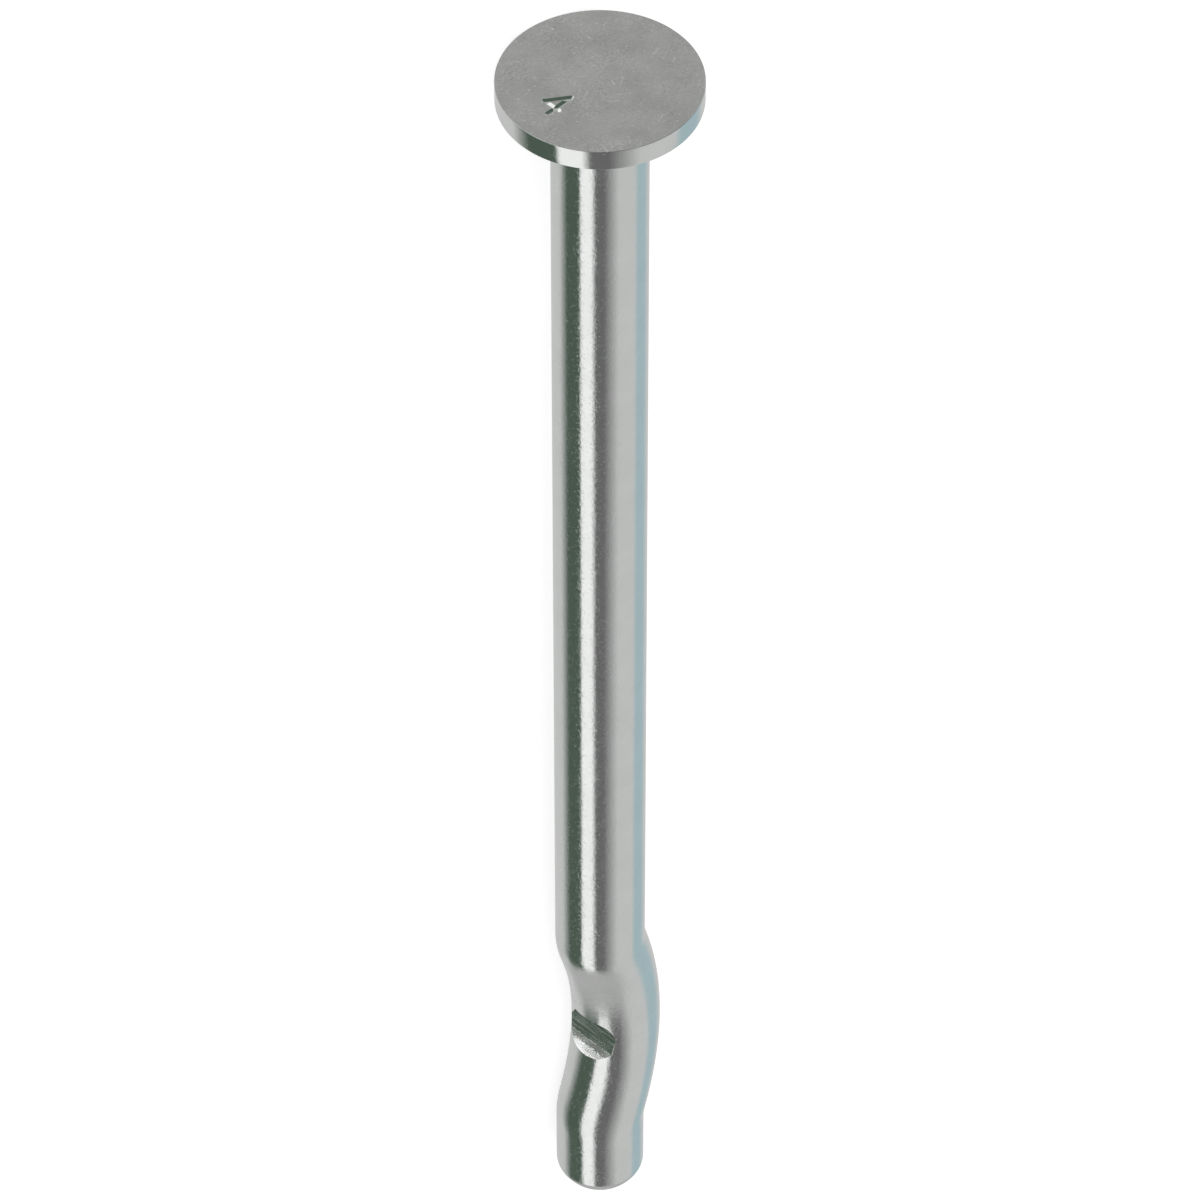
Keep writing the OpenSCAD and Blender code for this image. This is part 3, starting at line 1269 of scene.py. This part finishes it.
BRIGHT = ((0.80, 0.82, 0.80), (0.84, 0.855, 0.84))
FINISHES = {
    Zone.SHANK: Zinc(
        "bright_zinc", BRIGHT, (0.05, 0.09), 0.35, grain=Cover(4.2, height=0.005),
        specks=Cover(5.0, 0.4, height=0.007, rough=0.2),
        scratches=Cover(1.0, 0.08, height=-0.0015, rough=0.3),
        hairs=Cover(1.0, 0.45, height=0.003, rough=0.1), drawing=Cover(3.2, height=0.0006),
        press=(6.8, 23.0)),
    Zone.HEAD_TOP: Zinc(
        "satin_zinc", ((0.63, 0.64, 0.62), (0.73, 0.735, 0.72)), (0.31, 0.42), 0.5,
        grain=Cover(5.0, height=0.02, light=0.4), specks=Cover(1.9, 0.3, height=0.02, rough=-0.15, light=0.7),
        scratches=Cover(0.6, 0.12, height=-0.004, rough=-0.12, light=0.6),
        hairs=Cover(1.0, 0.35, height=0.003, light=0.16)),
    Zone.STAMP: Zinc(
        "stamped_zinc", ((0.84, 0.86, 0.84), (0.90, 0.92, 0.90)), (0.08, 0.14), 1.5,
        grain=Cover(6.0, height=0.002)),
    Zone.NOTCH_FLAT: Zinc(
        "pressed_zinc", ((0.72, 0.75, 0.72), (0.80, 0.82, 0.80)), (0.08, 0.14), 1.1,
        grain=Cover(6.0, height=0.002), specks=Cover(2.6, 0.3, height=0.004, rough=0.3),
        streaks=Cover(8.0, height=0.006, rough=0.27)),
    # Painted light and shade: the ramp's near-white second tint, low on the ramp, is a painted highlight, and
    # its dark grey first tint, which takes over higher up towards the flat, is painted shade.
    Zone.NOTCH_RAMP: Zinc(
        "ramp_painted_light_and_shade", ((0.31, 0.33, 0.31), (0.97, 0.99, 0.98)), (0.16, 0.26), 8.0,
        grain=Cover(7.0, height=0.06, light=0.6), specks=Cover(5.0, 0.5, height=-0.03, light=-0.8),
        highlight_to_shade=(12.95, 13.6)),
    # Painted highlight: the rim's near-white tints, brighter than the zinc elsewhere, make the facet at the
    # ramp's rim show as a bright line.
    Zone.NOTCH_RIM: Zinc(
        "rim_painted_highlight", ((0.96, 0.98, 0.97), (0.99, 1.0, 1.0)), (0.12, 0.18), 1.6,
        grain=Cover(7.0, height=0.03, light=0.15), specks=Cover(6.0, 0.15, height=-0.02, light=-0.4)),
    # Painted shade: the cheek's dark green tints darken the notch's cheek, the roof under its lip, where the
    # zinc lies in shade.
    Zone.NOTCH_CHEEK: Zinc(
        "cheek_painted_shade", ((0.27, 0.35, 0.29), (0.31, 0.39, 0.33)), (0.08, 0.12), 0.6,
        grain=Cover(3.0, height=0.001)),
    Zone.HEAD_EDGE: Zinc(
        "edge_zinc", BRIGHT, (0.05, 0.09), 0.35, grain=Cover(3.8, height=0.002),
        specks=Cover(2.5, 0.3, height=0.008, rough=0.2), hairs=Cover(1.0, 0.3, height=0.001, rough=0.1)),
}


# -------------------------------------------------------------------------------------- anchor


@dataclass
class Anchor:
    """The whole anchor: one bar with its tip, crimp and head."""

    length: float = 101.6
    shank_r: float = 3.025
    columns: int = 256
    short_step: float = 0.25   # the first and the last step of a plain stretch
    sharp: float = radians(11.5)    # an edge that turns by more than this is shaded sharp
    tip: Tip = field(default_factory=Tip)
    crimp: Crimp = field(default_factory=Crimp)
    head: Head = field(default_factory=Head)

    def place(self, record: dict) -> Matrix:
        """Where the upright anchor, in metres, lies in the scene, from the record's mounts.

        Args:
            record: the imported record.

        Returns:
            The matrix that lays the upright anchor down.
        """
        mounts = {mount["name"]: mount for mount in record["mounts"]}
        top = Vector(mounts["head_top"]["pos_m"])
        up = Vector(mounts["head_top"]["axis"]).normalized()
        aside = Vector(mounts["head_seat"]["pos_m"]) - top
        side = -(aside - up * aside.dot(up)).normalized()
        turn = Matrix((side.cross(up), side, up)).transposed().to_4x4()
        return Matrix.Translation(top - up * self.length * MM) @ turn

    def build(self, place: Matrix) -> bpy.types.Object:
        """Models the anchor and lays it down.

        Args:
            place: where the upright anchor lies in the scene.

        Returns:
            The finished object, at the origin, with its place in its mesh.
        """
        sweep = RingSweep(self.columns, self.shank_r - self.tip.width - self.tip.disc_inset)
        self.tip.build(sweep, self.shank_r)
        half, seat = self.crimp.half(self.shank_r), self.length - self.head.thickness
        self._plain(sweep, self.crimp.at - half)
        self.crimp.build(sweep)
        self._plain(sweep, seat - self.head.neck_r)
        self.head.build(sweep)
        sweep.mesh.verts.layers.int.remove(sweep.column)
        bmesh.ops.recalc_face_normals(sweep.mesh, faces=sweep.mesh.faces)
        bmesh.ops.transform(sweep.mesh, matrix=place @ Matrix.Scale(MM, 4), verts=sweep.mesh.verts)
        mesh = bpy.data.meshes.new("anchor_bar")
        sweep.mesh.to_mesh(mesh)
        sweep.mesh.free()
        mesh.shade_smooth()
        mesh.set_sharp_from_angle(angle=self.sharp)
        piece = bpy.data.objects.new("anchor_bar", mesh)
        bpy.context.scene.collection.objects.link(piece)
        log.info("anchor_bar: %d faces", len(mesh.polygons))
        return piece

    def _plain(self, sweep: RingSweep, height: float) -> None:
        """Adds a plain stretch of bar, with a short first and last step.

        Args:
            sweep: the skin so far.
            height: how far up the stretch runs.
        """
        run = height - sweep.place.translation.z
        short = min(self.short_step, run / 4)
        for step in (short, run - 2 * short, short):
            sweep.straight(step)

    def dress(self, piece: bpy.types.Object, place: Matrix) -> None:
        """Gives the anchor its finishes.

        Args:
            piece: the anchor's object.
            place: where the upright anchor lies in the scene.
        """
        effects = Effects()
        for zone in Zone:
            piece.data.materials.append(FINISHES[zone].material(effects, place))
        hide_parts("anchor")
        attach(piece, "root")


# -------------------------------------------------------------------------------------- studio


@dataclass(frozen=True)
class Belt:
    """A belt of panels round the bar's length: colours by the angle round the bar, in degrees.

    The angle is 0 towards the viewer's side of the bar and grows to the viewer's right.
    """

    stops: tuple[tuple[float, Colour], ...]

    def ramp(self, nodes: Nodes, share: bpy.types.NodeSocket) -> bpy.types.NodeSocket:
        """Adds the belt's colours as a colour ramp.

        Args:
            nodes: the world's nodes.
            share: how far round the bar a ray goes, 0 to 1 from -180 to 180 degrees.

        Returns:
            The colour.
        """
        node = nodes.add("ShaderNodeValToRGB")
        stops = node.color_ramp.elements
        while len(stops) < len(self.stops):
            stops.new(0.5)
        for stop, (angle, colour) in zip(stops, self.stops):
            stop.position = (angle + 180) / 360
            stop.color = (*colour, 1.0)
        nodes.link(share, node.inputs["Fac"])
        return node.outputs["Color"]


def grey(level: float, green: float = 1.0, blue: float = 1.0) -> Colour:
    """A grey of the studio, with its green and blue a little more or less than its red."""
    return level, level * green, level * blue


DARK = grey(0.08, 1.4, 1.1)
SMOKE = grey(0.15)
STONE = grey(0.45)
PALE = grey(0.6)
WHITE = grey(1.0)
SKY = grey(0.4, 1.3, 1.4)

# To the camera, the straight bar and the head's edge mirror SIDES; steep slopes and the head's top, TOP.
SIDES = Belt(((-110, PALE), (-85, DARK), (-50, DARK), (-45, WHITE), (-20, WHITE), (-10, SMOKE),
              (10, SMOKE), (45, PALE), (90, PALE), (100, SKY), (130, SKY), (150, PALE)))
TOP = Belt(((-120, STONE), (-110, WHITE), (-60, WHITE), (-40, DARK), (100, DARK), (120, STONE)))


@dataclass(frozen=True)
class Studio:
    """A plain white studio: floor, surround and one soft lamp. Lengths are in metres."""

    floor_half: float = 3.0
    floor_colour: float = 0.8
    day_level: float = 0.78
    glow: float = 0.5          # what the eye sees the floor give off, so that it shows white
    lamp_size: float = 0.5
    lamp_power: float = 1.2
    lamp_away: float = 0.8     # from the origin, towards the camera

    def build(self, place: Matrix) -> None:
        """Builds the studio round the anchor.

        Args:
            place: where the upright anchor lies in the scene.
        """
        scene = bpy.context.scene
        scene.view_settings.view_transform = "Standard"
        self._floor()
        self._world(scene, place)
        self._lamp()
        log.info("studio: floor, surround and lamp")

    def _floor(self) -> None:
        """Lays a pale floor that shows white but keeps the anchor's shadow.

        It is hidden from glossy rays, so the metal doesn't mirror it and Is Glossy Ray adds nothing.
        """
        mesh = bpy.data.meshes.new("floor")
        shape = bmesh.new()
        bmesh.ops.create_grid(shape, x_segments=1, y_segments=1, size=self.floor_half)
        shape.to_mesh(mesh)
        shape.free()
        floor = bpy.data.objects.new("floor", mesh)
        bpy.context.scene.collection.objects.link(floor)
        material = bpy.data.materials.new("pale_floor")
        material.use_nodes = True
        nodes = Nodes(material.node_tree)
        diffuse = nodes.add("ShaderNodeBsdfDiffuse")
        diffuse.inputs["Color"].default_value = (self.floor_colour,) * 3 + (1.0,)
        glow = nodes.add("ShaderNodeEmission")
        path = nodes.add("ShaderNodeLightPath")
        seen = nodes.math("ADD", path.outputs["Is Camera Ray"], path.outputs["Is Glossy Ray"], clamp=True)
        nodes.link(nodes.math("MULTIPLY", seen, self.glow), glow.inputs["Strength"])
        both = nodes.add("ShaderNodeAddShader")
        nodes.link(diffuse.outputs[0], both.inputs[0])
        nodes.link(glow.outputs[0], both.inputs[1])
        end = nodes.add("ShaderNodeOutputMaterial")
        nodes.link(both.outputs[0], end.inputs["Surface"])
        mesh.materials.append(material)
        floor.visible_glossy = False

    def _world(self, scene: bpy.types.Scene, place: Matrix) -> None:
        """Makes the surround: white to the eye, plain light, and a few plain panels in the metal.

        Args:
            scene: the scene.
            place: where the upright anchor lies in it.
        """
        world = bpy.data.worlds.new("studio")
        scene.world = world
        world.use_nodes = True
        nodes = Nodes(world.node_tree)
        ray = nodes.add("ShaderNodeTexCoord").outputs["Generated"]
        up = place.col[2].xyz
        towards, right = VIEW.across(up)
        turn = nodes.math("ARCTAN2", nodes.dot(ray, right), nodes.dot(ray, towards))
        share = nodes.math("MULTIPLY_ADD", turn, 1 / (2 * pi))
        share.node.inputs[2].default_value = 0.5
        rise = nodes.math("MULTIPLY", nodes.math("ARCSINE", nodes.dot(ray, up)), 180 / pi)
        panels = nodes.mix(nodes.fade(rise, -55, -65), SIDES.ramp(nodes, share), STONE)
        panels = nodes.mix(nodes.fade(rise, -15, 0), panels, TOP.ramp(nodes, share))
        path = nodes.add("ShaderNodeLightPath")
        colour = nodes.mix(path.outputs["Is Glossy Ray"], (self.day_level,) * 3, panels)
        colour = nodes.mix(path.outputs["Is Camera Ray"], colour, (1.0, 1.0, 1.0))
        back = nodes.add("ShaderNodeBackground")
        nodes.link(colour, back.inputs["Color"])
        end = nodes.add("ShaderNodeOutputWorld")
        nodes.link(back.outputs[0], end.inputs["Surface"])

    def _lamp(self) -> None:
        """Hangs one large soft lamp high over the anchor."""
        data = bpy.data.lights.new("soft_lamp", "AREA")
        data.shape = "DISK"
        data.size = self.lamp_size
        data.energy = self.lamp_power
        lamp = bpy.data.objects.new("soft_lamp", data)
        lamp.location = VIEW.towards * self.lamp_away
        lamp.rotation_euler = (-lamp.location).to_track_quat("-Z", "Y").to_euler()
        lamp.visible_glossy = False
        bpy.context.scene.collection.objects.link(lamp)


@dataclass(frozen=True)
class View:
    """The camera: its directions, aim and distance in metres, and its lens in millimetres."""

    towards: Vector            # from the anchor to the camera
    right: Vector              # to the right of the view
    aim: Vector
    distance: float
    lens: float
    sensor_w: float = 36.0     # in millimetres
    nearest: float = 0.01

    def across(self, up: Vector) -> tuple[Vector, Vector]:
        """The viewer's side of a bar that runs along up, and the viewer's right of it.

        Args:
            up: the bar's direction.

        Returns:
            Two unit vectors square to the bar.
        """
        towards = (self.towards - up * self.towards.dot(up)).normalized()
        return towards, up.cross(towards)

    def build(self) -> None:
        """Makes the camera and the scene's view through it."""
        data = bpy.data.cameras.new("camera")
        data.sensor_width = self.sensor_w
        data.lens = self.lens
        data.clip_start = self.nearest
        camera = bpy.data.objects.new("camera", data)
        back = self.towards.normalized()
        right = (self.right - back * self.right.dot(back)).normalized()
        turn = Matrix((right, back.cross(right), back)).transposed().to_4x4()
        camera.matrix_world = Matrix.Translation(self.aim + back * self.distance) @ turn
        bpy.context.scene.collection.objects.link(camera)
        bpy.context.scene.camera = camera
        log.info("camera: %.0f mm lens, %.3f m away", self.lens, self.distance)


VIEW = View(towards=Vector((-0.69924, -0.35471, 0.62068)), right=Vector((0.01719, 0.85963, 0.51062)),
            aim=Vector((-0.00571, 0.0, 0.00490)), distance=0.48027, lens=223.39)


def main() -> None:
    """Builds the anchor round the frame, then the studio."""
    logging.basicConfig(level=logging.INFO, format="%(name)s: %(message)s")
    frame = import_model()
    anchor = Anchor()
    place = anchor.place(frame["record"])
    piece = anchor.build(place)
    anchor.dress(piece, place)
    Studio().build(place)
    VIEW.build()


if __name__ == "__main__":
    main()
